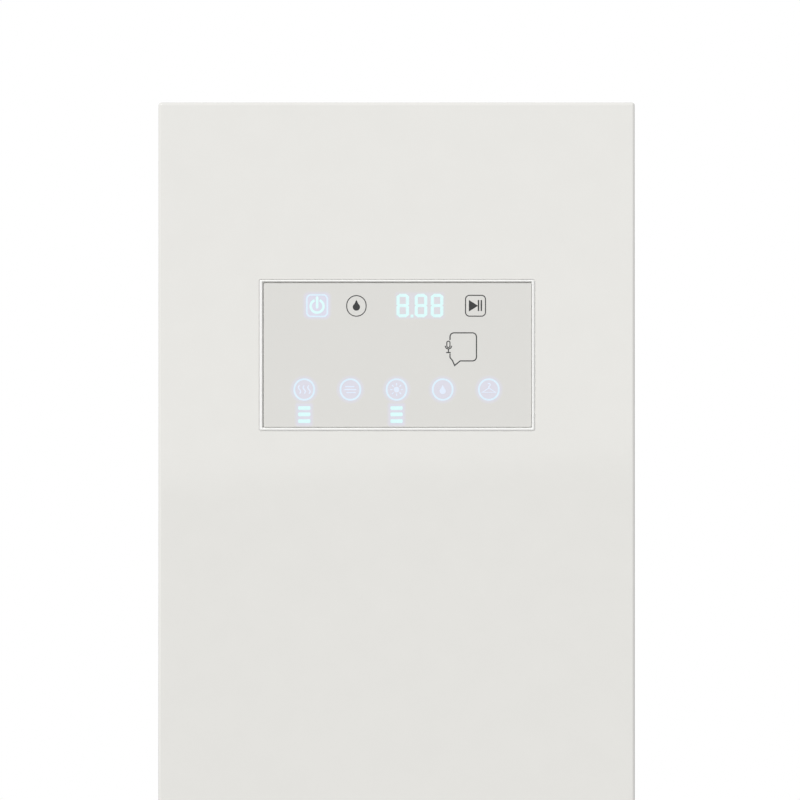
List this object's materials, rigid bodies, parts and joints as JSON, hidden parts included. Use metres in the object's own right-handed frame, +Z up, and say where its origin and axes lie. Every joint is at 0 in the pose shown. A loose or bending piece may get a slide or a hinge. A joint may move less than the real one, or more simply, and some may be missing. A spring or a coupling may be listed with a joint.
{
  "type": "clothes care steam cabinet",
  "caption": "Tall narrow steam cabinet for clothes: full-size door with a flush touch panel, garment chamber with a shaking hanger bar, heat pump, steam generator and pull-out water tanks.",
  "frame": {"origin": "on the floor under the middle of the cabinet", "axes": "+Z up, the door faces -Y, +X to the right seen from the front"},
  "size_m": [0.445, 0.585, 1.85],
  "materials": {
    "painted_steel": "satin baked paint, warm white",
    "galvanised_sheet": "zinc-coated sheet",
    "stainless": "brushed stainless",
    "cast_aluminium": "die-cast",
    "aluminium_fins": "rolled fin stock",
    "copper_pipe": "drawn copper",
    "compressor_enamel": "black enamel",
    "inner_moulding": "vacuum-formed white plastic",
    "white_plastic": "moulded white plastic",
    "grey_plastic": "moulded grey plastic",
    "dark_plastic": "moulded dark plastic",
    "clear_tank": "blow-moulded translucent plastic",
    "lamp_lens": "opal lens",
    "touch_acrylic": "back-printed touch panel",
    "bezel_plastic": "satin moulded trim",
    "gasket_rubber": "soft grey seal",
    "black_rubber": "toothless belt rubber",
    "hose_silicone": "silicone hose",
    "circuit_board": "glass-fibre board with parts"
  },
  "bodies": {
    "cabinet": {"base_pan": "galvanised_sheet", "side_panel_left": "painted_steel", "side_panel_right": "painted_steel", "top_panel": "painted_steel", "back_panel": "galvanised_sheet", "front_frame": "painted_steel", "plinth_grille": "painted_steel", "chamber_liner": "inner_moulding", "air_outlet_grille": "white_plastic", "chamber_lamp": "lamp_lens", "steam_nozzle": "white_plastic", "tank_bay": "galvanised_sheet", "air_duct": "grey_plastic", "evaporator_coil": "aluminium_fins", "condenser_coil": "aluminium_fins", "fan_scroll": "grey_plastic", "fan_motor": "galvanised_sheet", "compressor": "compressor_enamel", "discharge_pipe": "copper_pipe", "suction_pipe": "copper_pipe", "steam_generator": "cast_aluminium", "steam_hose": "hose_silicone", "feed_pump": "dark_plastic", "feed_hose": "hose_silicone", "control_board": "circuit_board", "power_inlet": "dark_plastic", "drive_plate": "galvanised_sheet", "guide_rod_front": "stainless", "guide_rod_rear": "stainless", "shaker_motor": "galvanised_sheet", "drive_belt": "black_rubber", "hinge_bracket_top": "stainless", "hinge_bracket_bottom": "stainless"},
    "door": {"door_skin": "painted_steel", "door_liner": "inner_moulding", "door_gasket": "gasket_rubber", "door_grip": "grey_plastic", "hinge_block_top": "dark_plastic", "hinge_block_bottom": "dark_plastic", "panel_bezel": "bezel_plastic", "touch_panel": "touch_acrylic", "board_carrier": "dark_plastic", "display_board": "circuit_board"},
    "hanger": {"hanger_carriage": "galvanised_sheet", "hanger_bar": "stainless"},
    "crank": {"crank_pulley": "white_plastic"},
    "motor_pulley": {"motor_pulley": "white_plastic"},
    "fan": {"fan_wheel": "grey_plastic"},
    "lint_filter": {"lint_filter": "grey_plastic"},
    "shelf": {"garment_shelf": "white_plastic"},
    "supply_tank": {"supply_tank": "clear_tank", "supply_tank_front": "painted_steel"},
    "supply_cap": {"supply_tank_cap": "dark_plastic"},
    "waste_tank": {"waste_tank": "clear_tank", "waste_tank_front": "painted_steel"},
    "waste_cap": {"waste_tank_cap": "dark_plastic"},
    "foot_front_left": {"foot_front_left": "dark_plastic"},
    "foot_front_right": {"foot_front_right": "dark_plastic"},
    "foot_rear_left": {"foot_rear_left": "dark_plastic"},
    "foot_rear_right": {"foot_rear_right": "dark_plastic"}
  },
  "joints": [
    {"name": "door_hinge", "type": "hinge", "parent": "cabinet", "child": "door", "pos_m": [-0.207, -0.257, 1.035], "axis": [0, 0, -1], "range_deg": [0, 115]},
    {"name": "supply_tank_slide", "type": "slide", "parent": "cabinet", "child": "supply_tank", "axis": [0, -1, 0], "range_m": [0, 0.24]},
    {"name": "waste_tank_slide", "type": "slide", "parent": "cabinet", "child": "waste_tank", "axis": [0, -1, 0], "range_m": [0, 0.24]},
    {"name": "supply_cap_twist", "type": "hinge", "parent": "supply_tank", "child": "supply_cap", "pos_m": [-0.102, -0.21, 0.17], "axis": [0, 0, 1], "range_deg": [0, 90]},
    {"name": "waste_cap_twist", "type": "hinge", "parent": "waste_tank", "child": "waste_cap", "pos_m": [0.102, -0.21, 0.17], "axis": [0, 0, 1], "range_deg": [0, 90]},
    {"name": "filter_lift", "type": "slide", "parent": "cabinet", "child": "lint_filter", "axis": [0, 0, 1], "range_m": [0, 0.1]},
    {"name": "shelf_lift", "type": "slide", "parent": "cabinet", "child": "shelf", "axis": [0, 0, 1], "range_m": [0, 0.1]},
    {"name": "hanger_shake", "type": "slide", "parent": "cabinet", "child": "hanger", "axis": [1, 0, 0], "range_m": [-0.018, 0.018]},
    {"name": "crank_spin", "type": "hinge", "parent": "cabinet", "child": "crank", "pos_m": [0, 0.014, 1.785], "axis": [0, 0, 1], "continuous": true},
    {"name": "motor_pulley_spin", "type": "hinge", "parent": "cabinet", "child": "motor_pulley", "pos_m": [0, 0.164, 1.785], "axis": [0, 0, 1], "continuous": true},
    {"name": "fan_spin", "type": "hinge", "parent": "cabinet", "child": "fan", "pos_m": [0, 0.24, 0.3], "axis": [0, 1, 0], "continuous": true},
    {"name": "foot_front_left_turn", "type": "hinge", "parent": "cabinet", "child": "foot_front_left", "pos_m": [-0.1885, -0.185, 0.02], "axis": [0, 0, 1], "continuous": true},
    {"name": "foot_front_right_turn", "type": "hinge", "parent": "cabinet", "child": "foot_front_right", "pos_m": [0.1885, -0.185, 0.02], "axis": [0, 0, 1], "continuous": true},
    {"name": "foot_rear_left_turn", "type": "hinge", "parent": "cabinet", "child": "foot_rear_left", "pos_m": [-0.1885, 0.255, 0.02], "axis": [0, 0, 1], "continuous": true},
    {"name": "foot_rear_right_turn", "type": "hinge", "parent": "cabinet", "child": "foot_rear_right", "pos_m": [0.1885, 0.255, 0.02], "axis": [0, 0, 1], "continuous": true}
  ],
  "couplings": [
    {"joint": "motor_pulley_spin", "follows": "crank_spin", "ratio": 3.5}
  ]
}
